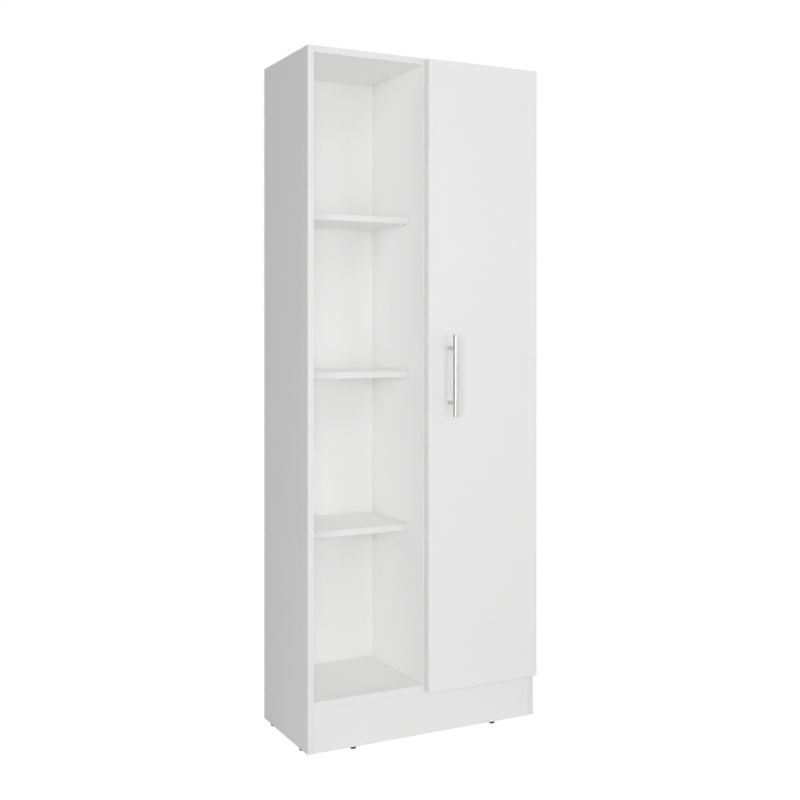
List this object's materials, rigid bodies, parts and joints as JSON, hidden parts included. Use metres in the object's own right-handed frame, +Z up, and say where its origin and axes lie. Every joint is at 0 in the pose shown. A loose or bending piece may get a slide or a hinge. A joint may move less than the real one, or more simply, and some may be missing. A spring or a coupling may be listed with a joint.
{
  "type": "pantry cupboard",
  "caption": "Tall narrow pantry cupboard with an open shelved bay beside a shelved bay behind one tall hinged door, on a flush plinth and low floor glides.",
  "frame": {"origin": "on the floor, under the middle of the whole outline, with the handle and back sheets counted", "axes": "+Z up; +Y from the door towards the back; +X to the right, towards the hinged side, as seen from the front"},
  "size_m": [0.6, 0.3314, 1.591],
  "materials": {
    "carcass_board": "white melamine-faced chipboard, satin, with matching edge banding",
    "door_board": "white melamine-faced chipboard, satin, with matching edge banding",
    "back_sheet": "hardboard with a white lacquered face",
    "white_plastic": "moulded white",
    "soft_bumper": "soft, pale and milky",
    "die_cast_zinc": "dull zinc casting",
    "plated_screws": "bright zinc plate",
    "beech": "bare fluted beech",
    "grey_plastic": "moulded dark grey",
    "hinge_steel": "nickel-plated pressed steel",
    "handle_metal": "satin nickel, turned"
  },
  "bodies": {
    "carcass": {"left_side_panel": "carcass_board", "right_side_panel": "carcass_board", "top_panel": "carcass_board", "bottom_panel": "carcass_board", "divider_panel": "carcass_board", "plinth_board": "carcass_board", "back_sheet_left": "back_sheet", "back_sheet_right": "back_sheet", "open_shelf_lower": "carcass_board", "open_shelf_middle": "carcass_board", "open_shelf_upper": "carcass_board", "inner_shelf_lower": "carcass_board", "inner_shelf_middle": "carcass_board", "inner_shelf_upper": "carcass_board", "shelf_pegs": "white_plastic", "cam_locks": "die_cast_zinc", "cam_bolts": "plated_screws", "double_ended_bolts": "plated_screws", "cam_caps": "white_plastic", "wooden_dowels": "beech", "divider_screws": "plated_screws", "back_sheet_nails": "plated_screws", "floor_glides": "grey_plastic", "glide_nails": "plated_screws", "door_bumpers": "soft_bumper", "hinge_mounting_plates": "hinge_steel", "mounting_plate_screws": "plated_screws", "hinge_arms": "hinge_steel", "hinge_arm_screws": "plated_screws", "hinge_arm_pins": "hinge_steel"},
    "door": {"door_panel": "door_board", "hinge_cups": "hinge_steel", "hinge_cup_screws": "plated_screws", "hinge_cup_pins": "hinge_steel", "handle_bar": "handle_metal", "handle_posts": "handle_metal", "handle_screws": "plated_screws"},
    "outer_links": {"hinge_outer_links": "hinge_steel"},
    "inner_links": {"hinge_inner_links": "hinge_steel"}
  },
  "joints": [
    {"name": "outer_link_pivot", "type": "hinge", "parent": "carcass", "child": "outer_links", "pos_m": [0.2615, -0.10465, 0.847], "axis": [0, 0, 1], "range_deg": [-31.54, 0]},
    {"name": "door_pivot", "type": "hinge", "parent": "outer_links", "child": "door", "pos_m": [0.2867, -0.11705, 0.847], "axis": [0, 0, 1], "range_deg": [0, 126.54]},
    {"name": "inner_link_pivot", "type": "hinge", "parent": "door", "child": "inner_links", "pos_m": [0.2872, -0.12245, 0.847], "axis": [0, 0, 1], "range_deg": [-110.77, 0]}
  ],
  "couplings": [
    {"joint": "outer_link_pivot", "follows": "door_pivot", "ratio": -0.24925},
    {"joint": "inner_link_pivot", "follows": "door_pivot", "ratio": -0.87538}
  ]
}
